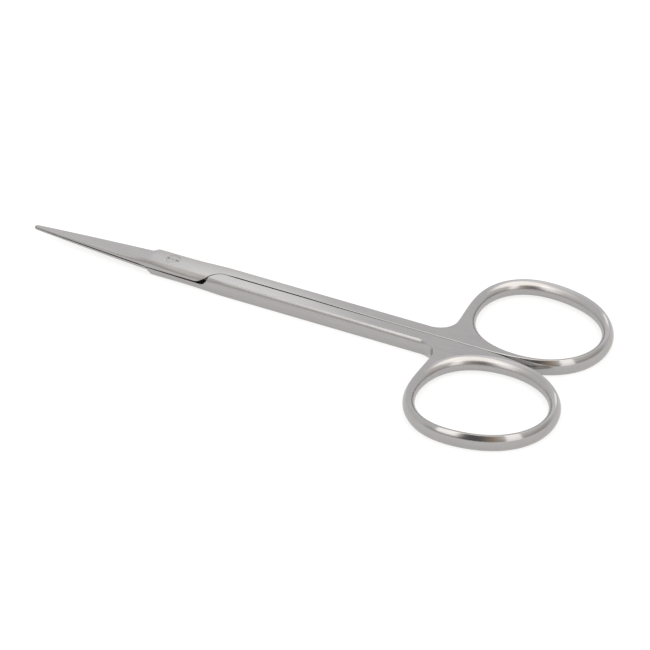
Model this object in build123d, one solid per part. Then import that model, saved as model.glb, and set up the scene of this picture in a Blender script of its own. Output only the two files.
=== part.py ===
from build123d import *

import os
from math import cos, pi, radians, sin, sqrt

# Iris scissors, 115 mm, straight and sharp. Two forged halves cross in a half-lap joint
# and turn on one slotted screw.
# X runs from the pivot towards the finger rings, Y across, Z up, with the screw on the Z axis.
# The scissors lie flat: the undersides of shanks and rings are at Z = 0 and the two halves
# meet on the plane at half the thickness. They are drawn closed.
# The lower half is the upper half turned half a turn about the X axis, apart from its screw hole.

# Overall sizes
tip_length = 30.45          # pivot to blade tip
thickness = 3.45            # shanks, joint and rings
half_thickness = thickness / 2
mating_gap = 0.02           # from the middle plane to each half's mating face
shank_gap = 0.05            # from the centre line to each half's inner edge

# Half widths at the middle plane, and how far the flat top stands in from there
blade_root_width = 2.47
joint_width = 2.72
shank_width = 2.79
neck_width = 2.76
joint_bulge = 0.84
blade_root_bulge = 0.62
shank_bulge = 0.53
blade_root_x = -4.0
joint_x = 4.0
shank_start_x = 12.0
neck_x = 53.4

# Lap joint: the heel of one half lies in the pocket in front of the other half's shoulder.
# Both are S-curves milled square to the flats, which flare where they come out at the side.
# They give how far back from the heel's end, and what share of the half width across.
heel_end_x = 11.3
shoulder_lead = 0.12        # the shoulder starts this far behind the heel's end
heel_curve = (
    (1.0, 0.065), (1.95, 0.29), (2.55, 0.53), (2.87, 0.76), (3.55, 0.89), (4.45, 1.0), (5.4, 1.1),
)
shoulder_curve = (
    (1.05, 0.12), (1.88, 0.34), (2.35, 0.56), (2.62, 0.74), (3.1, 0.87), (3.75, 0.97), (4.7, 1.1),
)
heel_corner = 4.4           # from the heel's end to its outer corner
relief_length = 8.0        # ground relief under the outer edge of the joint, deepest at the heel
relief_width = 0.50
relief_height = 0.40

# Finger rings: a bar bent to an oval with an egg and a slight skew
ring_radius = 12.38
ring_oval = 0.97            # two-fold wave: longer than wide
ring_oval_turn = 20.0
ring_egg = 0.21             # three-fold wave: fuller towards the yoke
ring_egg_turn = -10.0
ring_square = -0.09         # four-fold wave
ring_skew = 0.04            # five-fold wave
ring_skew_turn = 14.0
bar_width = 2.21
ring_bulge = 0.53           # the bar's outer side is barrelled like the shank's
finger_bulge = 1.45         # its inner side is rounded for the finger, up to a narrow flat
ring_gap = 0.22           # from the centre line to the side of the closed ring
ring_reach = 4.42           # from the end of the shank to the ring's inner side
ring_x = neck_x + ring_radius + ring_reach
ring_join_angle = 286.0     # where the ring's outline leaves the centre line
ring_leave_angle = 172.0    # where it leaves the ring for the yoke
web_length = 6.7            # the straight inner edge of the yoke ends this far before the ring's middle

# Yoke: concave sweep from the shank into the ring
yoke_radius = 3.05
yoke_bulge = 0.57

# Blade
blade_tip_width = 0.28
blade_bow = 0.16            # how far the blade's back bows out half way along
ridge_drop = 0.085          # step from the joint's flat down to the blade's ridge
blade_tip_height = 0.42
ridge_root = 1.05           # from the middle line to the ridge, at the root and at the tip
ridge_tip = 0.20
edge_set_back = 0.08        # the cutting edge stands this far inside the back's width
nose_length = 0.45          # rounded end of the blade
hollow_radius = 14.0        # wheel that grinds the mating face hollow
hollow_depth = 0.08
hollow_middle = 0.30        # middle of the hollow and half its length, as shares of the blade
hollow_reach = 0.36

# Ricasso: where the ground bevel stops short of the joint, from the blade's root and across
ricasso_curve = ((-1.6, 0.2), (-0.8, 0.9), (-0.3, 1.4), (0.11, 1.83), (0.6, 2.7))
ricasso_slope = 0.75        # how far the end wall leans towards the tip per height

# Screw
screw_radius = 1.0
screw_head_radius = 1.33
screw_head_height = 0.80
screw_clearance = 0.03
thread_clearance = 0.01
slot_width = 0.22
slot_depth = 0.10
slot_turn = -4.0

# Heights of the outlines that the halves are built through, as shares of half the thickness
levels = (-1.0, -0.93, -0.78, -0.45, 0.0, 0.45, 0.78, 0.93, 1.0)
round_reach = 1.04          # the round inside of the ring would close this much above the flat
hole_flare = 0.25           # how much wider the finger hole's cutter gets above the flat
beyond = 6.0                # how far cutters reach past the sides


def mix(a, b, share):
    """Straight blend from a to b."""
    return a + (b - a) * share


def ease(share):
    """Smooth step from 0 to 1."""
    share = min(max(share, 0.0), 1.0)
    return share * share * (3 - 2 * share)


def barrelled(level, bulge):
    """How far an outer side stands in at a height: a shallow arc, 0 at the middle plane."""
    return bulge * level ** 2


def rounded(level, bulge):
    """How far the inside of a ring stands in at a height: most of an ellipse."""
    full = 1 - sqrt(1 - 1 / round_reach ** 2)
    return bulge * (1 - sqrt(1 - (level / round_reach) ** 2)) / full


def ring_form(angle):
    """Point of the ring bar's centre line, from the ring's middle."""
    a = radians(angle)
    r = ring_radius + ring_oval * cos(2 * a + radians(ring_oval_turn))
    r += ring_egg * cos(3 * a + radians(ring_egg_turn))
    r += ring_square * cos(4 * a)
    r += ring_skew * cos(5 * a + radians(ring_skew_turn))
    return Vector(r * cos(a), r * sin(a))


ring_y = ring_gap + bar_width / 2 - min(ring_form(angle).Y for angle in range(360))


def ring_centre(angle):
    """Point of the ring bar's centre line."""
    return Vector(ring_x, ring_y) + ring_form(angle)


def ring_offset(angle, distance):
    """Point beside the ring bar's centre line, outwards if distance is positive."""
    step = 0.01
    along = (ring_centre(angle + step) - ring_centre(angle - step)).normalized()
    return ring_centre(angle) + Vector(along.Y, -along.X) * distance


def side_width(x):
    """Half width of joint and shank at the middle plane."""
    if x < joint_x:
        return mix(blade_root_width, joint_width, (x - blade_root_x) / (joint_x - blade_root_x))
    if x < shank_start_x:
        return mix(joint_width, shank_width, (x - joint_x) / (shank_start_x - joint_x))
    return mix(shank_width, neck_width, (x - shank_start_x) / (neck_x - shank_start_x))


def side_bulge(x):
    """How far the flat top of joint and shank stands in from the side."""
    if x < joint_x:
        return mix(blade_root_bulge, joint_bulge, ease((x - blade_root_x) / (joint_x - blade_root_x)))
    return mix(joint_bulge, shank_bulge, ease((x - joint_x) / (shank_start_x - joint_x)))


def hermite(p, p_way, q, q_way, share):
    """Point of a cubic that leaves p along p_way and reaches q along q_way."""
    s = share
    return (p * (2 * s ** 3 - 3 * s ** 2 + 1) + p_way * (s ** 3 - 2 * s ** 2 + s)
            + q * (3 * s ** 2 - 2 * s ** 3) + q_way * (s ** 3 - s ** 2))


def outer_side():
    """Outline of a half from the inner edge of its yoke round the ring and along the shank.

    Each entry is (point, bulge).
    """
    outer = bar_width / 2
    stations = []
    start = Vector(ring_x - web_length, shank_gap)
    joined = ring_offset(ring_join_angle, outer)
    way = (ring_offset(ring_join_angle + 1, outer) - joined).normalized()
    reach = (joined - start).length
    for i in range(5):
        share = i / 5
        point = hermite(start, Vector(reach, 0), joined, way * reach, share)
        stations.append((point, ring_bulge * ease((share - 0.25) / 1.5)))
    turn = 360 + ring_leave_angle - ring_join_angle
    count = 30
    for i in range(count + 1):
        angle = ring_join_angle + turn * i / count
        grow = mix(0.5, 1.0, ease(i / 3))
        stations.append((ring_offset(angle, outer), ring_bulge * grow))
    # from the ring down to the concave sweep, which ends on the shank
    leave = stations[-1][0]
    leave_way = (leave - stations[-2][0]).normalized()
    centre = Vector(neck_x, neck_width + yoke_radius)
    sweep = centre + Vector(yoke_radius, 0)
    reach = (sweep - leave).length
    for i in range(1, 6):
        share = i / 6
        point = hermite(leave, leave_way * reach, sweep, Vector(0, -reach), share)
        stations.append((point, mix(ring_bulge, yoke_bulge, ease(share))))
    for i in range(7):
        angle = -pi / 2 * i / 6
        point = centre + Vector(cos(angle), sin(angle)) * yoke_radius
        stations.append((point, mix(yoke_bulge, shank_bulge, i / 6)))
    spans = ((neck_x, shank_start_x, 6), (shank_start_x, joint_x, 2), (joint_x, blade_root_x, 3))
    for high, low, steps in spans:
        for i in range(1, steps + 1):
            x = mix(high, low, i / steps)
            stations.append((Vector(x, side_width(x)), side_bulge(x)))
    return stations


def heel_side():
    """Outline along the back of the joint, square at its end until the heel is milled."""
    stations = []
    for i in range(8):
        x = mix(blade_root_x, heel_end_x, i / 7)
        stations.append((Vector(x, -side_width(x)), side_bulge(x)))
    return stations


def at_level(stations, level):
    """The stations' outline at one height, as a smooth edge."""
    points = []
    for i, (point, bulge) in enumerate(stations):
        before = stations[max(i - 1, 0)][0]
        after = stations[min(i + 1, len(stations) - 1)][0]
        along = after - before
        if i in (0, len(stations) - 1):
            along = Vector(along.X, 0)
        along = along.normalized()
        inwards = Vector(-along.Y, along.X)
        moved = point + inwards * barrelled(level, bulge)
        points.append(Vector(moved.X, moved.Y, level * half_thickness))
    return points


def level_wire(level):
    """Closed outline of a half at one height, with the blade still to come."""
    side = at_level(outer_side(), level)
    heel = at_level(heel_side(), level)
    heel_tip = Vector(heel_end_x, shank_gap, level * half_thickness)
    far = Spline(*side, tangents=[(1, 0, 0), side[-1] - side[-2]])
    front = Line(side[-1], heel[0])
    near = Spline(*heel, tangents=[heel[1] - heel[0], heel[-1] - heel[-2]])
    end = Line(heel[-1], heel_tip)
    inner = Line(heel_tip, side[0])
    return Wire([far, front, near, end, inner])


def rear_body():
    """Joint plate, shank, yoke and the ring's outer form, all at the full thickness."""
    return Solid.make_loft([level_wire(level) for level in levels])


def ring_hole():
    """Closed cutter for the finger hole, widest at the flats."""
    wires = []
    for level in (-round_reach,) + levels[1:-1] + (round_reach,):
        if abs(level) < round_reach:
            flare = rounded(level, finger_bulge)
        else:
            flare = finger_bulge + hole_flare
        points = []
        for i in range(36):
            flat = ring_offset(i * 10, flare - bar_width / 2)
            points.append(Vector(flat.X, flat.Y, level * half_thickness))
        wires.append(Wire([Spline(*points, periodic=True)]))
    return Solid.make_loft(wires)


def plate(*curves):
    """Face inside curves that join end to end."""
    return Face(Wire([edge for curve in curves for edge in curve.edges()]))


def prism(face, low, high):
    """Upright block over a face drawn at zero height."""
    return extrude(face.moved(Location((0, 0, low))), high - low, dir=(0, 0, 1))


def s_curve(start, curve, way):
    """Points of the heel's or the shoulder's curve, across towards +Y or -Y, and its edge."""
    width = side_width(heel_end_x - heel_corner)
    side = [start]
    for back, across in curve:
        side.append(Vector(heel_end_x - back, way * (across * width - shank_gap)))
    return side, Spline(*side, tangents=[(-1, 0, 0), (side[-1] - side[-2]).normalized()])


def heel_cut():
    """Cutter beyond the heel's curve."""
    side, heel = s_curve(Vector(heel_end_x, shank_gap), heel_curve, -1)
    corners = [
        side[-1],
        Vector(side[-1].X, -beyond),
        Vector(heel_end_x + 1, -beyond),
        side[0],
    ]
    return prism(plate(heel, Polyline(*corners)), -thickness, thickness)


def pocket():
    """Cutter for the room where the other half's joint plate lies, up to the shoulder."""
    side, shoulder = s_curve(Vector(heel_end_x + shoulder_lead, shank_gap), shoulder_curve, 1)
    front_x = blade_root_x - 1
    corners = [
        side[-1],
        Vector(side[-1].X, beyond),
        Vector(front_x, beyond),
        Vector(front_x, -beyond),
        Vector(side[0].X, -beyond),
        side[0],
    ]
    return prism(plate(shoulder, Polyline(*corners)), -thickness, mating_gap)


def relief():
    """Cutter under the outer edge of the joint, so that the heel stands clear of the other half."""
    heel_x = heel_end_x - heel_corner
    start = Vector(heel_x - relief_length, -side_width(heel_x - relief_length), mating_gap)
    inner = Vector(heel_x, relief_width - side_width(heel_x), mating_gap)
    outer = Vector(heel_x, -side_width(heel_x), mating_gap + relief_height)
    ground = Plane(origin=start, x_dir=inner - start, z_dir=(inner - start).cross(outer - inner))
    length = 2 * (relief_length + heel_corner)
    return ground * Box(length, 4 * relief_width, beyond, align=(Align.CENTER, Align.CENTER, Align.MIN))


blade_length = tip_length + blade_root_x
blade_root_height = half_thickness - ridge_drop


def blade_width(share):
    """From the middle line to the blade's back on the mating face; 0 is the root, 1 the tip."""
    return mix(blade_root_width, blade_tip_width, share) + blade_bow * 4 * share * (1 - share)


def blade_height(share):
    """Height of the blade's ridge above the middle plane."""
    return mix(blade_root_height, blade_tip_height, share)


def ridge_line(share):
    """From the middle line to the ridge where the bevel starts."""
    return mix(ridge_root, ridge_tip, share ** 1.5)


def sagged(start, end, sag):
    """Arc that bulges outwards from the chord between two points of a section."""
    chord = end - start
    outwards = Vector(0, -chord.Z, chord.Y).normalized()
    return ThreePointArc(start, (start + end) / 2 + outwards * sag, end)


def blade_section(share):
    """Section of the blade before its bevel is ground: back, outer face, far side, mating face."""
    x = blade_root_x - blade_length * share
    width = blade_width(share)
    height = blade_height(share)
    soft = ease(share / 0.35)
    back = Vector(x, -width, mating_gap)
    corner = Vector(x, -width * (0.76 - 0.25 * share), height * mix(0.97, 0.82, soft))
    far_top = Vector(x, ridge_line(share) + 0.3 * width, height)
    far = Vector(x, width, mating_gap)
    return Wire([
        sagged(back, corner, width * mix(0.05, 0.10, soft)),
        sagged(corner, far_top, 0.02 * width),
        sagged(far_top, far, 0.05 * width),
        Line(far, back),
    ])


def blade(root):
    """Blade lofted from the joint's front face to the tip."""
    shares = (0.1, 0.21, 0.34, 0.51, 0.68, 0.85, 1.0)
    return Solid.make_loft([root] + [blade_section(share) for share in shares])


def bevel():
    """Cutter for the ground bevel, from the ridge down to the cutting edge."""
    sections = []
    for share in (-0.04, 0.15, 0.34, 0.53, 0.72, 0.87, 1.04):
        kept = min(max(share, 0.0), 1.0)
        x = blade_root_x - blade_length * share
        edge = Vector(x, blade_width(kept) - edge_set_back, mating_gap)
        ridge = Vector(x, ridge_line(kept), blade_height(kept))
        slope = (ridge - edge).normalized()
        low = edge - slope * 0.5
        high = ridge + slope * 1.5
        side = Vector(0, beyond, 0)
        sections.append(Wire.make_polygon([low, high, high + side, low + side]))
    end = [Vector(blade_root_x + x, y) for x, y in ricasso_curve]
    front_x = -tip_length - 2
    corners = [
        end[-1],
        Vector(end[-1].X, beyond),
        Vector(front_x, beyond),
        Vector(front_x, end[0].Y),
        end[0],
    ]
    # the outline is drawn on the joint's flat, and the wall leans from there towards the tip
    outline = plate(Spline(*end), Polyline(*corners)).moved(Location((0, 0, half_thickness)))
    lean = Vector(-ricasso_slope, 0, -1)
    below = extrude(outline, thickness * lean.length, dir=lean)
    above = extrude(outline, thickness, dir=(0, 0, 1))
    return Solid.make_loft(sections) & (below + above)


def nose():
    """Cutter that rounds the blade's end in plan."""
    start = -tip_length + nose_length
    half_width = blade_width((blade_root_x - start) / blade_length) + 0.02
    front_x = -tip_length - 1
    round_end = Spline(
        (start, -half_width),
        (-tip_length, 0),
        (start, half_width),
        tangents=[(-1, 0.1), (1, 0.1)],
    )
    corners = [
        Vector(start, half_width),
        Vector(start, beyond),
        Vector(front_x, beyond),
        Vector(front_x, -beyond),
        Vector(start, -beyond),
        Vector(start, -half_width),
    ]
    return prism(plate(round_end, Polyline(*corners)), -1, thickness)


def hollow():
    """Barrel that grinds the mating face hollow, running out towards tip and joint."""
    middle_x = blade_root_x - blade_length * hollow_middle
    reach = blade_length * hollow_reach
    axis_z = mating_gap + hollow_depth - hollow_radius
    front = Vector(middle_x - reach, 0, mating_gap)
    middle = Vector(middle_x, 0, mating_gap + hollow_depth)
    rear = Vector(middle_x + reach, 0, mating_gap)
    ends = Polyline(rear, (rear.X, 0, axis_z), (front.X, 0, axis_z), front)
    wheel = plate(ThreePointArc(front, middle, rear), ends)
    return revolve(wheel, Axis((0, 0, axis_z), (1, 0, 0)), 360)


def drum(radius, low, high):
    """Upright cylinder on the pivot axis."""
    cylinder = Cylinder(radius, high - low, align=(Align.CENTER, Align.CENTER, Align.MIN))
    return cylinder.moved(Location((0, 0, low)))


def plain_half():
    """One half without its screw hole, in the upper place and closed."""
    body = rear_body() - ring_hole() - heel_cut() - pocket() - relief()
    front = body.faces().sort_by(Axis.X)[0]
    body = body + blade(front.outer_wire())
    return body - bevel() - nose() - hollow()


def pivot_screw():
    """Slotted screw with its head ground flush with the upper half and its end with the lower."""
    screw = drum(screw_radius, -half_thickness, head_floor + thread_clearance)
    screw = screw + drum(screw_head_radius, head_floor, half_thickness)
    slot = Box(4 * screw_head_radius, slot_width, 2 * slot_depth)
    return screw - slot.moved(Location((0, 0, half_thickness), (0, 0, slot_turn)))


head_floor = half_thickness - screw_head_height
half = plain_half()

# The upper half is bored and counterbored, the lower half is threaded
bore = drum(screw_radius + screw_clearance, -thickness, thickness)
counterbore = drum(screw_head_radius + screw_clearance, head_floor - mating_gap, thickness)
thread = drum(screw_radius + thread_clearance, -thickness, thickness)
pieces = {
    "upper_half": half - bore - counterbore,
    "lower_half": half.rotate(Axis.X, 180) - thread,
    "pivot_screw": pivot_screw(),
}

os.makedirs("parts", exist_ok=True)
for name, piece in pieces.items():
    lifted = piece.solid().moved(Location((0, 0, half_thickness)))
    export_step(lifted, "parts/" + name + ".step")
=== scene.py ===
import bmesh
import bpy
import math
import numpy as np
from mathutils import Matrix, Vector


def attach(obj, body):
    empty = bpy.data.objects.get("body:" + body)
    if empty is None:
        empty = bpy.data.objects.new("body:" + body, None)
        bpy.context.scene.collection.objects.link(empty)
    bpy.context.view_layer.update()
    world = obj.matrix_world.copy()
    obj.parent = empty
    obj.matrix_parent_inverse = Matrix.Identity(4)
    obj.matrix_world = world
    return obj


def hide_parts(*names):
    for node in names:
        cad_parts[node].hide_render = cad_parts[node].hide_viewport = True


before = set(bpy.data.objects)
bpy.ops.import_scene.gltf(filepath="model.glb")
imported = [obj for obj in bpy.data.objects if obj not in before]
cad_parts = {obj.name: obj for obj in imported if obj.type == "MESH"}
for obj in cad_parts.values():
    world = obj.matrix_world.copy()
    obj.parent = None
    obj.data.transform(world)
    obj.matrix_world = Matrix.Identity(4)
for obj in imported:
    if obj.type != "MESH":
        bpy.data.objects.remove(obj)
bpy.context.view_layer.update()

# Upper half
# One half of the scissors is a single forging of stainless steel: finger ring, yoke, shank, joint
# plate and blade. Its flats are ground along their length and the ring is smoothed and polished.
# Sizes are millimetres from the pivot, with z from the plane where the two halves meet.

MM = 0.001
half_thickness = 1.725
mating_gap = 0.02
cutter_reach = 8.0          # cutters stand out this far past what they cut

blade_root_x, joint_x, shank_start_x, neck_x = -4.0, 4.0, 12.0, 53.4
half_widths = ((blade_root_x, 2.47), (joint_x, 2.72), (shank_start_x, 2.79), (neck_x, 2.76))
blade_root_bulge, joint_bulge, shank_bulge, yoke_bulge = 0.62, 0.84, 0.53, 0.57

edge_soft = 0.10            # rounding where a flat meets a side
soft_on_side, soft_on_flat = 0.48, 0.56     # shares of it that reach down the side and over the flat

inner_edge_y = 0.05         # the shanks of the closed halves lie side by side along this edge
seam_soft = 0.06            # rounding along it near the joint
worn_seam_soft = 0.30       # and nearer to the rings, where it is worn
worn_from_x, worn_to_x = 26.0, 38.0
seam_width = 1.2            # beside the yoke it turns into the other edges' rounding this far out
seam_opening = 0.10         # the shanks stand this much further apart behind the joint
opening_full_x, opening_end_x = 24.0, 50.0

ring_middle = np.array((70.2, 12.75))
ring_radius = 12.38
ring_waves = ((2, 0.97, 20.0), (3, 0.21, -10.0), (4, -0.09, 0.0), (5, 0.04, 14.0))
ring_start_angle, ring_sweep = 286.0, 246.0     # of the outer side, between the yoke's two ends
bar_width, ring_bulge = 2.21, 0.70
finger_bulge = 1.45         # the inside of the ring is rounded over for the finger
finger_reach = 1.04         # its round profile would close this much above the flat
yoke_radius = 3.05
neck_run = 0.5              # the sweep starts gently, this much before its round part
web_end_x = 63.5
web_bulge_start, web_bulge_run = 0.1, 1.2       # shares of the web's side, where it rounds over


def mix(a, b, share):
    return a + (b - a) * share


def ease(x, start=0.0, end=1.0):
    """0 up to start, 1 from end on and a smooth step between them."""
    share = np.clip((x - start) / (end - start), 0.0, 1.0)
    return share * share * (3 - 2 * share)


def ring_line(angle, aside=0.0):
    """Points beside the ring bar's centre line; the ring is a slightly skewed egg."""
    a = np.radians(np.asarray(angle, float))
    r = ring_radius + sum(size * np.cos(n * a + math.radians(turn)) for n, size, turn in ring_waves)
    slope = sum(-n * size * np.sin(n * a + math.radians(turn)) for n, size, turn in ring_waves)
    along = np.stack((slope * np.cos(a) - r * np.sin(a), slope * np.sin(a) + r * np.cos(a)), -1)
    along /= np.linalg.norm(along, axis=-1, keepdims=True)
    outwards = np.stack((along[..., 1], -along[..., 0]), -1)
    return ring_middle + np.stack((r * np.cos(a), r * np.sin(a)), -1) + outwards * aside


def half_width(x):
    return np.interp(x, *zip(*half_widths))


def side_bulge(x):
    """How far the flat top stands in from the side of joint and shank."""
    front = mix(blade_root_bulge, joint_bulge, ease(x, blade_root_x, joint_x))
    rear = mix(joint_bulge, shank_bulge, ease(x, joint_x, shank_start_x))
    return np.where(x < joint_x, front, rear)


def bend(p, p_way, q, q_way, share):
    """Points of a cubic from p to q with the given directions at its ends."""
    s = share[:, None]
    return (p * (2 * s ** 3 - 3 * s ** 2 + 1) + p_way * (s ** 3 - 2 * s ** 2 + s)
            + q * (3 * s ** 2 - 2 * s ** 3) + q_way * (s ** 3 - s ** 2))


def through(points, steps):
    """A smooth line through a few points of the plan."""
    points = np.array(points, float)
    ahead = np.vstack((points[1:], 2 * points[-1] - points[-2]))
    behind = np.vstack((2 * points[0] - points[1], points[:-1]))
    gaps = np.linalg.norm(points[1:] - points[:-1], axis=1)
    before = np.concatenate((gaps[:1], gaps))
    after = np.concatenate((gaps, gaps[-1:]))
    slopes = (ahead - points) / after[:, None] * before[:, None]
    slopes = (slopes + (points - behind) / before[:, None] * after[:, None]) / (before + after)[:, None]
    share = np.arange(steps) / steps
    runs = []
    for i, gap in enumerate(gaps):
        runs.append(bend(points[i], slopes[i] * gap, points[i + 1], slopes[i + 1] * gap, share))
    return np.vstack(runs + [points[-1:]])


def side_rows(points, bulge, roundness=0.0):
    """Points of a side in plan, each with its bulge and with how round its profile is."""
    full = np.ones(len(points))
    return np.column_stack((points, bulge * full, roundness * full))


def outer_side():
    """The side from the inner edge of the yoke round the ring and on to the blade's root."""
    half_bar = bar_width / 2
    start = np.array((web_end_x, inner_edge_y))
    joined = ring_line(ring_start_angle, half_bar)
    way = ring_line(ring_start_angle + 0.5, half_bar) - ring_line(ring_start_angle - 0.5, half_bar)
    way /= np.linalg.norm(way)
    reach = np.linalg.norm(joined - start)
    share = np.arange(20) / 20
    web = bend(start, np.array((reach, 0)), joined, way * reach, share)
    web_bulge = ring_bulge * ease((share - web_bulge_start) / web_bulge_run)

    share = np.arange(221) / 220
    ring = ring_line(ring_start_angle + ring_sweep * share, half_bar)
    bulge = ring_bulge * mix(ease((1 - web_bulge_start) / web_bulge_run), 1.0, ease(share * 10))
    rows = [side_rows(web, web_bulge), side_rows(ring, bulge)]

    leave = ring[-1]
    leave_way = leave - ring[-2]
    leave_way /= np.linalg.norm(leave_way)
    sweep = np.array((neck_x + yoke_radius, half_width(neck_x) + yoke_radius))
    reach = np.linalg.norm(sweep - leave)
    share = np.arange(1, 24) / 24
    outer_yoke = bend(leave, leave_way * reach, sweep, np.array((0, -reach)), share)
    rows.append(side_rows(outer_yoke, mix(ring_bulge, yoke_bulge, ease(share))))

    share = np.arange(29) / 28
    neck = np.array((neck_x - neck_run, half_width(neck_x)))
    reach = 1.66 * yoke_radius      # with this the cubic is nearly a quarter of a circle
    neck_way = np.array((-reach - 1.6 * neck_run, 0))
    inner_yoke = bend(sweep, np.array((0, -reach)), neck, neck_way, share)
    rows.append(side_rows(inner_yoke, mix(yoke_bulge, shank_bulge, share)))

    shank_x = np.linspace(neck[0], shank_start_x, 42)[1:]
    x = np.concatenate((shank_x, np.linspace(shank_start_x, blade_root_x, 49)[1:]))
    rows.append(side_rows(np.column_stack((x, half_width(x))), side_bulge(x)))
    return np.vstack(rows)


def rounded_corner(start, corner, end):
    """Points after start that round a corner off, up to end."""
    s = (np.arange(1, 5) / 4)[:, None]
    return start * (1 - s) ** 2 + corner * 2 * s * (1 - s) + end * s ** 2


def side_profile(bulge, roundness, soft):
    """Inset and height of one station's side, from the lower flat to the upper one."""
    def inset(level):
        full = 1 - math.sqrt(1 - 1 / finger_reach ** 2)
        round_inset = (1 - np.sqrt(1 - (level / finger_reach) ** 2)) / full
        return bulge * mix(level ** 2, round_inset, roundness)

    last = 1 - soft * soft_on_side / half_thickness
    level = last * np.sin(np.linspace(0, 1, 9) * math.pi / 2)
    side = np.column_stack((inset(level), level * half_thickness))
    flat_start = np.array((bulge + soft * soft_on_flat, half_thickness))
    slope = (inset(np.array(last)) - inset(np.array(last - 0.01))) / (0.01 * half_thickness)
    drop = half_thickness - side[-1, 1]
    corner = np.array((min(side[-1, 0] + slope * drop, flat_start[0] - 0.01), half_thickness))
    upper = np.vstack((side, rounded_corner(side[-1], corner, flat_start)))
    lower = upper[:0:-1] * (1, -1)
    return np.vstack((lower, upper))


def strip(bm, rows, soft, straight, turned=1.0):
    """Adds the wall along a closed outline, and returns its lowest and highest loops of points.

    Where straight is 1 or -1 the wall there runs exactly along or against x.
    """
    along = np.roll(rows[:, :2], -1, 0) - np.roll(rows[:, :2], 1, 0)
    count = len(rows)
    columns = []
    for i in range(count):
        way = np.array((straight[i], 0.0)) if straight[i] else along[i]
        way = way / np.linalg.norm(way)
        inwards = np.array((-way[1], way[0])) * turned
        column = []
        for inset, z in side_profile(rows[i, 2], rows[i, 3], soft[i]):
            x, y = rows[i, :2] + inwards * inset
            column.append(bm.verts.new((x, y, z)))
        columns.append(column)
    for i in range(count):
        a, b = columns[i], columns[(i + 1) % count]
        for j in range(len(a) - 1):
            corners = (a[j], b[j], b[j + 1], a[j + 1])
            bm.faces.new(corners if turned > 0 else corners[::-1])
    low = [column[0] for column in columns]
    high = [column[-1] for column in columns]
    return low, high


def new_object(name, bm):
    mesh = bpy.data.meshes.new(name)
    bm.to_mesh(mesh)
    bm.free()
    made = bpy.data.objects.new(name, mesh)
    bpy.context.scene.collection.objects.link(made)
    return made


# the heel of one half lies in front of the other half's shoulder, both milled to an S-curve that
# is given by how far it lies before the heel's end, and across by shares of the half width
heel_end_x, heel_corner_x = 11.3, 6.9
heel_curve = ((1.0, 0.065), (1.95, 0.29), (2.55, 0.53), (2.87, 0.76), (3.1, 0.92), (3.5, 1.15))
shoulder_curve = ((1.05, 0.12), (1.88, 0.34), (2.35, 0.56), (2.6, 0.74), (2.78, 0.92), (3.1, 1.15))
# heights, and how far the heel is ground back there, or the cutter's round end leaves the shoulder
heel_undercut = ((-4.0, 2.9), (0.1, 2.9), (0.36, 2.15), (0.42, 1.78), (0.51, 1.48), (0.64, 1.22),
                 (0.82, 0.98), (1.62, 0.0), (4.0, 0.0))
shoulder_root = ((-4.0, 0.0), (-1.3, 0.0), (-0.75, 0.15), (-0.3, 0.50), (-0.1, 0.80), (0.02, 1.15))
undercut_run = 0.9          # both begin at the inner edge and are full this far out from it
# length, width at the heel and height at the heel of what is ground off under the outer edge
long_relief = (26.0, 0.90, 0.36)
short_relief = (5.0, 0.50, 0.42)


def rear_of_half():
    """Joint plate, shank, yoke and ring as one closed mesh, square at the heel for now."""
    outer = outer_side()
    x = np.linspace(blade_root_x, heel_end_x, 40)
    back = side_rows(np.column_stack((x, -half_width(x))), side_bulge(x))
    heel_end = (heel_end_x, inner_edge_y, 0.0, 0.0)
    x = np.linspace(heel_end_x, web_end_x, 42)[1:-1]
    apart = (1 - ease(x, opening_full_x, opening_end_x)) * ease(x, heel_end_x, heel_end_x + 2)
    inner = side_rows(np.column_stack((x, inner_edge_y + seam_opening * apart)), 0.0)
    rows = np.vstack((back, heel_end, inner, outer))
    straight = np.zeros(len(rows))
    straight[0] = 1
    straight[len(back) - 1:len(back) + len(inner) + 2] = 1
    straight[-1] = -1
    seam = mix(seam_soft, worn_seam_soft, ease(rows[:, 0], worn_from_x, worn_to_x))
    soft = mix(seam, edge_soft, ease(np.abs(rows[:, 1] - inner_edge_y), 0, seam_width))
    bm = bmesh.new()
    low, high = strip(bm, rows, soft, straight)
    hole = side_rows(ring_line(np.arange(0, 360, 1.5), -bar_width / 2), finger_bulge, 1.0)
    ones = np.ones(len(hole))
    low_hole, high_hole = strip(bm, hole, edge_soft * ones, 0 * ones, turned=-1.0)
    rim = []
    for loop in (high, high_hole):
        rim += [bm.edges.get((loop[i - 1], loop[i])) for i in range(len(loop))]
    made = bmesh.ops.triangle_fill(bm, use_beauty=True, edges=rim, normal=(0, 0, 1))["geom"]
    under = dict(zip(high + high_hole, low + low_hole))
    for face in [part for part in made if isinstance(part, bmesh.types.BMFace)]:
        bm.faces.new([under[vert] for vert in reversed(face.verts)])
    bmesh.ops.recalc_face_normals(bm, faces=bm.faces)
    return new_object("rear", bm)


def join_rings(bm, rings):
    """Faces between rings of as many points each."""
    for a, b in zip(rings, rings[1:]):
        for i in range(len(a)):
            j = (i + 1) % len(a)
            bm.faces.new((a[i], a[j], b[j], b[i]))


def skin(bm, rings):
    """Closed mesh through rings of points, with a face at each end."""
    join_rings(bm, rings)
    bm.faces.new(rings[0][::-1])
    bm.faces.new(rings[-1])
    bmesh.ops.recalc_face_normals(bm, faces=bm.faces)


def stack(levels):
    """Closed mesh through plan outlines of as many points, each with its height."""
    bm = bmesh.new()
    skin(bm, [[bm.verts.new((x, y, z)) for x, y in outline] for z, outline in levels])
    return new_object("cutter", bm)


def prism(outline, low, high):
    return stack([(low, outline), (high, outline)])


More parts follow.
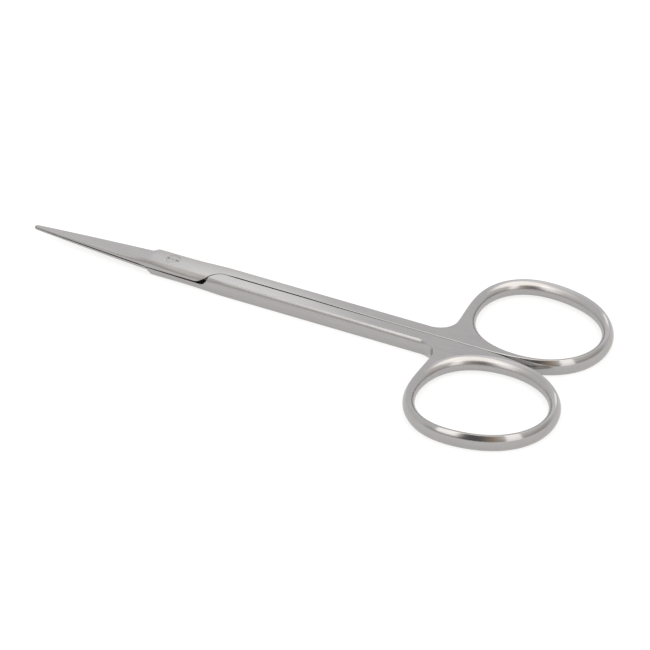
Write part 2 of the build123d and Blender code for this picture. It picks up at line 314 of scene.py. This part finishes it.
def combine(body, other, operation):
    """Boolean of two closed meshes; the second one is used up."""
    modifier = body.modifiers.new("combine", "BOOLEAN")
    modifier.operation = operation
    modifier.solver = "EXACT"
    modifier.object = other
    bpy.context.view_layer.update()
    graph = bpy.context.evaluated_depsgraph_get()
    mesh = bpy.data.meshes.new_from_object(body.evaluated_get(graph))
    body.modifiers.clear()
    body.data = mesh
    bpy.data.objects.remove(other)
    return body


def s_curve(start, curve, way, moved):
    """Line of the heel or the shoulder, moved towards the tip except at the inner edge."""
    width = half_width(heel_corner_x)
    points = [(heel_end_x - back, way * (across * width - inner_edge_y)) for back, across in curve]
    return [(x - moved * float(ease(abs(y), 0, undercut_run)), y) for x, y in through([start] + points, 12)]


def heel_cut():
    """What is milled off behind the heel and ground away under it."""
    start = (heel_end_x + 0.05, inner_edge_y + 0.006)
    levels = []
    for height, ground in heel_undercut:
        line = s_curve(start, heel_curve, -1, ground)
        far_side = [(line[-1][0], -cutter_reach), (heel_end_x + 1, -cutter_reach)]
        levels.append((height, line + far_side))
    return stack(levels)


def lap_pocket():
    """Room for the other half's joint plate, up to the S-shaped shoulder."""
    start = (heel_end_x + 0.12, inner_edge_y - 0.001)
    front_x = blade_root_x - 1
    levels = []
    for height, left in shoulder_root:
        line = s_curve(start, shoulder_curve, 1, left)
        far_side = [(line[-1][0], cutter_reach), (front_x, cutter_reach)]
        near_side = [(front_x, -cutter_reach), (line[0][0], -cutter_reach)]
        levels.append((height, line + far_side + near_side))
    return stack(levels)


def relief_cutter(length, width, height):
    """Block that grinds a wedge off under the outer edge of the joint plate, deepest at the heel."""
    start_x = heel_corner_x - length
    start = Vector((start_x, -half_width(start_x), mating_gap))
    inner = Vector((heel_corner_x, width - half_width(heel_corner_x), mating_gap))
    outer = Vector((heel_corner_x, -half_width(heel_corner_x), mating_gap + height))
    along = (inner - start).normalized()
    down = (inner - start).cross(outer - inner).normalized()
    across = down.cross(along)
    bm = bmesh.new()
    rings = []
    # the block begins before the wedge, is wider than it and runs on past the heel
    front, rear, half_wide, deep = -2, length + 5, 1, 6
    sides = ((front, -half_wide), (rear, -half_wide), (rear, half_wide), (front, half_wide))
    for depth in (0, deep):
        rings.append([bm.verts.new(start + along * a + across * b + down * depth) for a, b in sides])
    skin(bm, rings)
    return new_object("cutter", bm)


# the blade is drawn down from the joint plate, with a rounded back and a bevel ground on its far
# side, which leaves a step at the ricasso; shares run from 0 at its root to 1 at its tip
tip_x = -30.45
blade_length = blade_root_x - tip_x
nose_length = 0.80
blade_half_widths = (2.47, 0.28)
blade_belly = 0.16          # its sides stand out this much halfway along
blade_heights = (1.64, 0.42)
ridge_ys = (1.05, 0.20)     # where the bevel meets the outer face
eased_wide, eased_high = 0.60, 0.28     # how much is taken off the back's lower edge
worn_run = 0.35             # the back gets rounder up to this share and then stays so
root_run = 0.10             # over this share the plate's section turns into the blade's
nose_low = 0.10             # the nose comes down towards this share of the section's height
face_steps = np.linspace(0, 1, 13)


def blade_half_width(share):
    return mix(*blade_half_widths, share) + blade_belly * 4 * share * (1 - share)


def ridge_y(share):
    return mix(*ridge_ys, np.clip(share, 0, 1) ** 1.5)


def arc(start, end, sag, share):
    """Points from start to end along a shallow curve that bulges to its left."""
    chord = end - start
    left = np.array((-chord[1], chord[0])) / np.linalg.norm(chord)
    share = share[:, None]
    return start + chord * share + left * sag * 4 * share * (1 - share)


def rounded_side(foot, corner, face_end, sag, soft):
    """Side of a section from its foot up to its corner, which is rounded over to the face."""
    side = arc(foot, corner, sag, np.linspace(0, 1 - soft / np.linalg.norm(corner - foot), 9))
    over = corner + (face_end - corner) / np.linalg.norm(face_end - corner) * soft
    return np.vstack((side, rounded_corner(side[-1], corner, over)))


def blade_section(share):
    """Section across the blade as y and z, from its back over the outer face to the far side."""
    w = blade_half_width(share)
    h = mix(*blade_heights, share)
    worn = ease(share, 0, worn_run)
    eased = np.array((-w + eased_wide * min(w, 1.3), mating_gap))
    back = np.array((-w, mating_gap + eased_high * min(h, 1.0)))
    far = np.array((w, mating_gap))
    corner = np.array((-w * mix(0.76, 0.51, share), h * mix(0.97, 0.82, worn)))
    far_top = np.array((ridge_y(share) + 0.3 * w, h))
    # sides and face are no planes, and stand out in the middle by these sags
    back_sag, far_sag, face_sag = w * mix(0.05, 0.10, worn), -0.05 * w, 0.02 * w
    soft = min(mix(0.10, 0.16, worn), 0.3 * w)
    back_side = rounded_side(back, corner, far_top, back_sag, soft)
    far_side = rounded_side(far, far_top, corner, far_sag, soft)
    face = arc(back_side[-1], far_side[-1], face_sag, face_steps)[1:-1]
    return np.vstack((eased, back_side, face, far_side[::-1]))


def grow_blade(half):
    """Draws the blade out of the joint plate's open front, as one surface with it."""
    bm = bmesh.new()
    bm.from_mesh(half.data)
    rim = [vert for vert in bm.verts if abs(vert.co.x - blade_root_x) < 1e-5]
    front = [face for face in bm.faces if all(vert in rim for vert in face.verts)]
    bmesh.ops.delete(bm, geom=front, context="FACES")
    rim = [vert for vert in rim if vert.is_valid]
    back = sorted((v for v in rim if v.co.y < 0), key=lambda v: (v.co.z, v.co.y))
    far = sorted((v for v in rim if v.co.y > 0), key=lambda v: (v.co.z, -v.co.y))
    top = bm.edges.get((back[-1], far[-1]))
    face = []
    at = back[-1]
    for left in range(len(face_steps) - 1, 1, -1):
        top, at = bmesh.utils.edge_split(top, at, 1 / left)
        face.append(at)
        top = bm.edges.get((at, far[-1]))
    rings = [back + face + far[::-1]]
    root = np.array([(vert.co.y, vert.co.z) for vert in rings[0]])
    stations = [(x, 1.0) for x in np.linspace(blade_root_x, tip_x + nose_length, 60)[1:]]
    for turn in np.linspace(0, math.pi / 2, 10)[1:-1]:
        stations.append((tip_x + nose_length * (1 - math.sin(turn)), math.cos(turn)))
    for x, narrow in stations:
        share = (blade_root_x - x) / blade_length
        section = mix(root, blade_section(share), ease(share, 0, root_run))
        section[:, 0] *= narrow
        section[:, 1] = mating_gap + (section[:, 1] - mating_gap) * mix(nose_low, 1.0, narrow)
        rings.append([bm.verts.new((x, y, z)) for y, z in section])
    join_rings(bm, rings)
    bm.faces.new(rings[-1])
    bmesh.ops.recalc_face_normals(bm, faces=bm.faces)
    bm.to_mesh(half.data)
    bm.free()


edge_land = 0.08            # the bevel starts this far inside the plain section's far side
ricasso_wall = ((-5.6, 0.2), (-4.8, 0.9), (-4.3, 1.4), (-3.89, 1.83), (-3.4, 2.7))
wall_lean = 0.75            # it leans towards the joint as it rises


def bevel_cutter():
    """What the grinding wheel takes off the far side of the blade, up to the ricasso's end wall."""
    bm = bmesh.new()
    rings = []
    outwards = (6, 0)
    # it runs on past the blade's root and tip, and past the bevel's lower and upper edge
    for share in np.linspace(-0.06, 1.04, 56):
        kept = min(max(share, 0.0), 1.0)
        x = blade_root_x - blade_length * share
        edge = np.array((blade_half_width(kept) - edge_land, mating_gap))
        ridge = np.array((ridge_y(kept), mix(*blade_heights, kept)))
        slope = (ridge - edge) / np.linalg.norm(ridge - edge)
        low, high = edge - slope * 0.5, ridge + slope * 1.5
        section = (low, high, high + outwards, low + outwards)
        rings.append([bm.verts.new((x, y, z)) for y, z in section])
    skin(bm, rings)
    ground = new_object("ground", bm)
    wall_start, wall_end = ricasso_wall[0], ricasso_wall[-1]
    beyond_tip_x = -34.0
    far_side = [(wall_end[0], 9), (beyond_tip_x, 9), (beyond_tip_x, wall_start[1])]
    outline = [tuple(point) for point in through(ricasso_wall, 10)] + far_side
    levels = [(half_thickness + up, [(x + wall_lean * up, y) for x, y in outline]) for up in (-3, 2)]
    return combine(ground, stack(levels), "INTERSECT")


hollow_depth, hollow_wheel = 0.08, 14.0
hollow_middle_x = blade_root_x - 0.30 * blade_length
hollow_run = 0.36 * blade_length        # to each side of its middle


def hollow_cutter():
    """Upper part of the barrel that grinds the mating face of the blade slightly hollow."""
    bm = bmesh.new()
    axis_z = mating_gap + hollow_depth - hollow_wheel
    turn = np.radians(np.linspace(-12, 12, 49))
    bottom = [(y, -2.0) for y in (3, -3)]
    rings = []
    for s in np.linspace(-1, 1, 41):
        x = hollow_middle_x + hollow_run * s
        r = hollow_wheel - hollow_depth * s * s
        section = [(r * math.sin(t), axis_z + r * math.cos(t)) for t in turn] + bottom
        rings.append([bm.verts.new((x, y, z)) for y, z in section])
    skin(bm, rings)
    return new_object("cutter", bm)


def plain_half():
    """One half without its screw hole, in the upper place, in millimetres."""
    half = rear_of_half()
    combine(half, heel_cut(), "DIFFERENCE")
    combine(half, lap_pocket(), "DIFFERENCE")
    combine(half, relief_cutter(*long_relief), "DIFFERENCE")
    grow_blade(half)
    combine(half, relief_cutter(*short_relief), "DIFFERENCE")
    combine(half, bevel_cutter(), "DIFFERENCE")
    combine(half, hollow_cutter(), "DIFFERENCE")
    return half


def level_flats(mesh):
    """Lets the ground flats shade dead level, with their rounded edges running into them."""
    normals = np.empty(len(mesh.loops) * 3)
    mesh.corner_normals.foreach_get("vector", normals)
    normals = normals.reshape(-1, 3)
    vert = np.empty(len(mesh.loops), int)
    mesh.loops.foreach_get("vertex_index", vert)
    sides = np.empty(len(mesh.polygons), int)
    mesh.polygons.foreach_get("loop_total", sides)
    facing = np.repeat([face.normal.z for face in mesh.polygons], sides)
    dead_level, last_of_rounding = 0.99999, 0.88
    for way in (1, -1):
        on_flat = np.zeros(len(mesh.vertices), bool)
        on_flat[vert[facing * way > dead_level]] = True
        normals[on_flat[vert] & (facing * way > last_of_rounding)] = (0, 0, way)
    mesh.normals_split_custom_set([tuple(normal) for normal in normals])


weld, sliver = 0.001, 0.0005    # nearer points are joined, and shorter edges dissolved; millimetres
sharp_turn = 28.0           # faces that meet at more degrees than this shade apart


def finish_piece(made):
    """Puts a piece in its place in metres and gives it smooth shading with crisp edges."""
    bm = bmesh.new()
    bm.from_mesh(made.data)
    bmesh.ops.remove_doubles(bm, verts=bm.verts, dist=weld)
    bmesh.ops.dissolve_degenerate(bm, edges=bm.edges, dist=sliver)
    # a point where only two edges meet lies on a straight edge and would only give slivers
    spare = [vert for vert in bm.verts if len(vert.link_edges) == 2]
    bmesh.ops.dissolve_verts(bm, verts=spare)
    bm.to_mesh(made.data)
    bm.free()
    made.data.transform(Matrix.Translation((0, 0, half_thickness)))
    made.data.transform(Matrix.Scale(MM, 4))
    made.data.shade_smooth()
    made.data.set_sharp_from_angle(angle=math.radians(sharp_turn))
    modifier = made.modifiers.new("even", "WEIGHTED_NORMAL")
    modifier.mode = "FACE_AREA"
    modifier.keep_sharp = True
    bpy.context.view_layer.update()
    graph = bpy.context.evaluated_depsgraph_get()
    mesh = bpy.data.meshes.new_from_object(made.evaluated_get(graph))
    made.modifiers.clear()
    made.data = mesh
    level_flats(mesh)


class Wire:
    """One socket of a material's or the world's nodes; arithmetic on it adds Math nodes."""

    def __init__(self, tree, socket=None):
        self.tree = tree
        self.socket = socket

    def link(self, value, target):
        self.tree.links.new(value.socket, target)

    def node(self, kind, inputs, output=0, **settings):
        """Adds a node, makes its settings first, and gives one of its outputs."""
        made = self.tree.nodes.new("ShaderNode" + kind)
        for name, value in settings.items():
            setattr(made, name, value)
        for name, value in inputs.items():
            if isinstance(value, Wire):
                self.link(value, made.inputs[name])
            else:
                made.inputs[name].default_value = value
        return Wire(self.tree, made.outputs[output])

    def calc(self, operation, *values):
        return self.node("Math", dict(enumerate(values)), operation=operation)

    def __add__(self, other):
        return self.calc("ADD", self, other)

    __radd__ = __add__

    def __sub__(self, other):
        return self.calc("SUBTRACT", self, other)

    def __rsub__(self, other):
        return self.calc("SUBTRACT", other, self)

    def __mul__(self, other):
        return self.calc("MULTIPLY", self, other)

    __rmul__ = __mul__

    def __truediv__(self, other):
        return self.calc("DIVIDE", self, other)

    def __abs__(self):
        return self.calc("ABSOLUTE", self)

    def rise(self, start, end):
        """0 below start, 1 above end and a smooth step between them."""
        inputs = {"Value": self, "From Min": start, "From Max": end}
        return self.node("MapRange", inputs, interpolation_type="SMOOTHSTEP")

    def within(self, start, full, falling, end):
        return self.rise(start, full) * (1 - self.rise(falling, end))

    def split(self):
        return [self.node("SeparateXYZ", {0: self}, output=i) for i in range(3)]

    def join(self, x, y, z):
        return self.node("CombineXYZ", {0: x, 1: y, 2: z})

    def blend(self, colour, other):
        """From one colour to another by this share."""
        inputs = {"Factor": self, 6: colour, 7: other}
        return self.node("Mix", inputs, output=2, data_type="RGBA")


def ground_steel(name, dark, pale, satin):
    """Stainless steel with grinding marks along the scissors, or round the ring past the yoke."""
    made = bpy.data.materials.new(name)
    made.use_nodes = True
    shader = made.node_tree.nodes["Principled BSDF"]
    shader.inputs["Metallic"].default_value = 1.0
    wire = Wire(made.node_tree)
    place = wire.node("TexCoord", {}, output=3)
    place = place.node("VectorMath", {0: place, "Scale": 1 / MM}, operation="SCALE")
    x, y, z = place.split()
    z = z - half_thickness
    # the marks are long the way the piece was ground, and a few tenths of a millimetre across
    long_way = x.join(x * 0.03, y * 2.4, z * 2.4)
    long_marks = x.node("TexNoise", {"Vector": long_way, "Scale": 1.0, "Detail": 1.5})
    along, aside = x - ring_middle[0], abs(y) - ring_middle[1]
    from_middle = x.calc("SQRT", along * along + aside * aside)
    turn_x, turn_y = along / from_middle, aside / from_middle
    # the ring is an egg, and its bar's middle comes and goes nearly as the first of its waves
    egg = (turn_x * turn_x - turn_y * turn_y) * 0.884 - turn_x * turn_y * 0.644
    off_bar = from_middle - egg - ring_radius
    ring_way = x.join(turn_x * 3.0, turn_y * 3.0, off_bar * 2.0)
    inputs = {"Vector": ring_way, "W": z * 2.0, "Scale": 1.0, "Detail": 1.5}
    ring_marks = x.node("TexNoise", inputs, noise_dimensions="4D")
    on_ring = x.rise(58.0, 64.0)
    marks = on_ring.node("Mix", {"Factor": on_ring, "A": long_marks, "B": ring_marks})
    cloud = x.node("TexNoise", {"Vector": x.join(x * 0.4, y, z), "Scale": 0.7, "Detail": 2.0})
    # handling has polished the rounded edges, and the inside of the rings stays duller
    worn_edge = abs(z).within(1.58, 1.66, 1.705, 1.722)
    in_ring = on_ring * (1 - off_bar.rise(-0.8, 0.0))
    on_side = x.rise(-8.0, -4.0) * (1 - abs(z).rise(1.50, 1.66)) * (1 - on_ring)
    shade = (marks * 0.5 + cloud * 0.5 + worn_edge * 0.12).rise(0.32, 0.68)
    wire.link(shade.blend(dark, pale), shader.inputs["Base Color"])
    roughness = satin - on_ring * 0.13 + in_ring * 0.15 - worn_edge * 0.05 - on_side * 0.08
    wire.link(roughness + (marks - 0.5) * 0.08, shader.inputs["Roughness"])
    # hand grinding leaves the flats of joint and shank very slightly crowned
    crown = (y * y) * (1 - x.rise(36.0, 50.0)) * -0.013
    height = crown + marks * (0.0022 - on_ring * 0.001)
    bump = x.node("Bump", {"Height": height, "Strength": 1.0, "Distance": MM})
    wire.link(bump, shader.inputs["Normal"])
    return made


screw_radius, head_radius, head_height = 1.0, 1.33, 0.80
screw_clearance, head_clearance, thread_clearance = 0.03, 0.015, 0.01
head_floor = half_thickness - head_height


def circle(radius):
    turn = np.arange(96) * math.pi / 48
    return [(radius * math.cos(t), radius * math.sin(t)) for t in turn]


def drill(half, radius, low):
    """Bores a hole on the pivot's axis, from low up through the top."""
    combine(half, prism(circle(radius), low, cutter_reach), "DIFFERENCE")


upper = plain_half()
upper.name = "upper_scissor_half"
lower = bpy.data.objects.new("lower_scissor_half", upper.data.copy())
bpy.context.scene.collection.objects.link(lower)
drill(upper, screw_radius + screw_clearance, -cutter_reach)
drill(upper, head_radius + head_clearance, head_floor - mating_gap)
finish_piece(upper)
half_steel = ground_steel("half_steel", (0.475, 0.461, 0.455, 1.0), (0.500, 0.488, 0.482, 1.0), 0.27)
upper.data.materials.append(half_steel)
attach(upper, "upper")
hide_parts("upper_half")

# Lower half
# The same forging of stainless steel, turned over. It is finished in the same way, and has a
# threaded hole for the screw in place of the head's seat.

lower.data.transform(Matrix.Rotation(math.pi, 4, "X"))
drill(lower, screw_radius + thread_clearance, -cutter_reach)
finish_piece(lower)
lower.data.materials.append(half_steel)
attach(lower, "lower")
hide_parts("lower_half")

# Pivot screw
# A slotted steel screw. Head and end are ground flush with the halves once it is set, which
# leaves only a faint ring and the bottom of the slot.

head_edge = 0.03            # the head's edge is broken by this much
slot_turn = -4.0
# start, end, half width and depth of what grinding left of the slot
slot_remains = ((-1.25, -0.72, 0.12, 0.20), (-0.40, 0.20, 0.06, 0.06), (0.52, 1.22, 0.13, 0.20))


def pivot_screw():
    """Shank and head turned as one, with the remains of the slot cut in."""
    levels = ((-half_thickness, screw_radius), (head_floor, screw_radius), (head_floor, head_radius),
              (half_thickness - head_edge, head_radius), (half_thickness, head_radius - head_edge))
    made = stack([(height, circle(radius)) for height, radius in levels])
    for start, end, half_wide, deep in slot_remains:
        sides = [(start, -half_wide), (end, -half_wide), (end, half_wide), (start, half_wide)]
        slot = prism(sides, half_thickness - deep, cutter_reach)
        slot.data.transform(Matrix.Rotation(math.radians(slot_turn), 4, "Z"))
        combine(made, slot, "DIFFERENCE")
    return made


screw = pivot_screw()
screw.name = "slotted_pivot_screw"
finish_piece(screw)
screw_steel = ground_steel("head_steel", (0.455, 0.442, 0.436, 1.0), (0.485, 0.473, 0.467, 1.0), 0.29)
screw.data.materials.append(screw_steel)
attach(screw, "lower")
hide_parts("pivot_screw")

# Floor
# A pale sheet of paper just under the scissors, which takes only their soft shadow. Its white
# comes from what the camera is shown, and a part of it is in what the steel reflects.

paper_colour = (0.32, 0.32, 0.32, 1.0)
white_to_camera, white_to_steel = 0.74, 0.52

bm = bmesh.new()
bmesh.ops.create_grid(bm, x_segments=1, y_segments=1, size=3.0)
floor = new_object("floor", bm)
floor.location.z = -0.02 * MM
paper = bpy.data.materials.new("paper")
paper.use_nodes = True
shader = paper.node_tree.nodes["Principled BSDF"]
shader.inputs["Base Color"].default_value = paper_colour
shader.inputs["Roughness"].default_value = 0.9
shader.inputs["Specular IOR Level"].default_value = 0.0
wire = Wire(paper.node_tree)
to_camera, to_steel, to_glass = [wire.node("LightPath", {}, output=i) for i in (0, 3, 7)]
white = to_camera * white_to_camera + (to_steel + to_glass) * white_to_steel
wire.link(white.join(white, white, white), shader.inputs["Emission Color"])
shader.inputs["Emission Strength"].default_value = 1.0
floor.data.materials.append(paper)

# Light
# A white tent, lit from outside, with a gap for the camera between two tall soft boxes and a
# small one that lights the joint. Places in the tent are degrees round from +X and degrees up.

world = bpy.data.worlds.new("studio")
bpy.context.scene.world = world
world.use_nodes = True
wire = Wire(world.node_tree)
way = wire.node("TexCoord", {}, output=0)
way_x, way_y, way_z = way.split()
around = way.calc("ARCTAN2", way_y, way_x) * (180 / math.pi)
up = way.calc("ARCSINE", way_z) * (180 / math.pi)
front = around.within(-150.0, -120.0, 20.0, 50.0)
level = 0.80 + 0.12 * around.within(119.0, 127.0, 150.0, 175.0)
level = level - 0.27 * front * (1 - up.rise(7.0, 26.0))
level = level + 0.95 * front * up.rise(38.0, 50.0)
level = level + 0.25 * up.rise(55.0, 68.0) * (1 - around.within(-130.0, -110.0, -20.0, 0.0))
gap = around.within(-97.0, -91.0, -66.0, -44.0) * (1 - up.rise(34.0, 50.0))
warm_side = around.within(-80.0, -62.0, -50.0, -40.0)
gap_colour = warm_side.blend((0.13, 0.13, 0.14, 1), (0.40, 0.32, 0.25, 1))
tent_colour = front.blend((1.0, 0.99, 1.01, 1), (1.03, 1.0, 0.965, 1))
tent = tent_colour.node("VectorMath", {0: tent_colour, "Scale": level}, operation="SCALE")
background = world.node_tree.nodes["Background"]
wire.link(gap.blend(tent, gap_colour), background.inputs["Color"])
background.inputs["Strength"].default_value = 1.0


def soft_box(name, left, right, low, high, radiance, aim):
    """Leaning lamp over the line between two points of the plan, turned to its aim; millimetres."""
    ends = [Vector((*left, 0)), Vector((*right, 0))]
    lamp = bpy.data.lights.new(name, "AREA")
    lamp.shape = "RECTANGLE"
    lamp.size = (ends[1] - ends[0]).length * MM
    lamp.size_y = (high - low) * MM
    lamp.energy = radiance * math.pi * lamp.size * lamp.size_y
    box = bpy.data.objects.new(name, lamp)
    bpy.context.scene.collection.objects.link(box)
    box.location = ((ends[0] + ends[1]) / 2 + Vector((0, 0, (low + high) / 2))) * MM
    box.rotation_mode = "QUATERNION"
    box.rotation_quaternion = (Vector(aim) * MM - box.location).to_track_quat("-Z", "Y")
    box.visible_camera = False


soft_box("left_soft_box", (-180, -465), (16, -480), 95, 640, 1.0, (60, -20, 300))
soft_box("right_soft_box", (337, -284), (418, -161), 0, 440, 0.9, (75, -20, 220))
soft_box("joint_soft_box", (-50, 78), (-16, 92), 70, 108, 0.66, (17, 0, 3))

# Camera
# It stands where the photograph was taken from, rather far away with a long lens. Its distance
# and direction are from the pivot, and it is aimed at a point halfway along the shanks.

azimuth, elevation = math.radians(29.416), math.radians(35.674)
distance, roll = 698.098, math.radians(-0.305)
pivot = Vector((0, 0, half_thickness))
aim = pivot + Vector((34.223, -4.0, 0))
away = Vector((
    math.sin(azimuth) * math.cos(elevation),
    -math.cos(azimuth) * math.cos(elevation),
    math.sin(elevation),
))
lens = bpy.data.cameras.new("camera")
lens.lens = 202.5
lens.sensor_width = 36.0
lens.clip_start = 0.05
camera = bpy.data.objects.new("camera", lens)
bpy.context.scene.collection.objects.link(camera)
camera.location = (pivot + away * distance) * MM
look = (aim * MM - camera.location).to_track_quat("-Z", "Y")
camera.rotation_mode = "QUATERNION"
camera.rotation_quaternion = look @ Matrix.Rotation(roll, 4, "Z").to_quaternion()
bpy.context.scene.camera = camera
bpy.context.scene.view_settings.view_transform = "Standard"
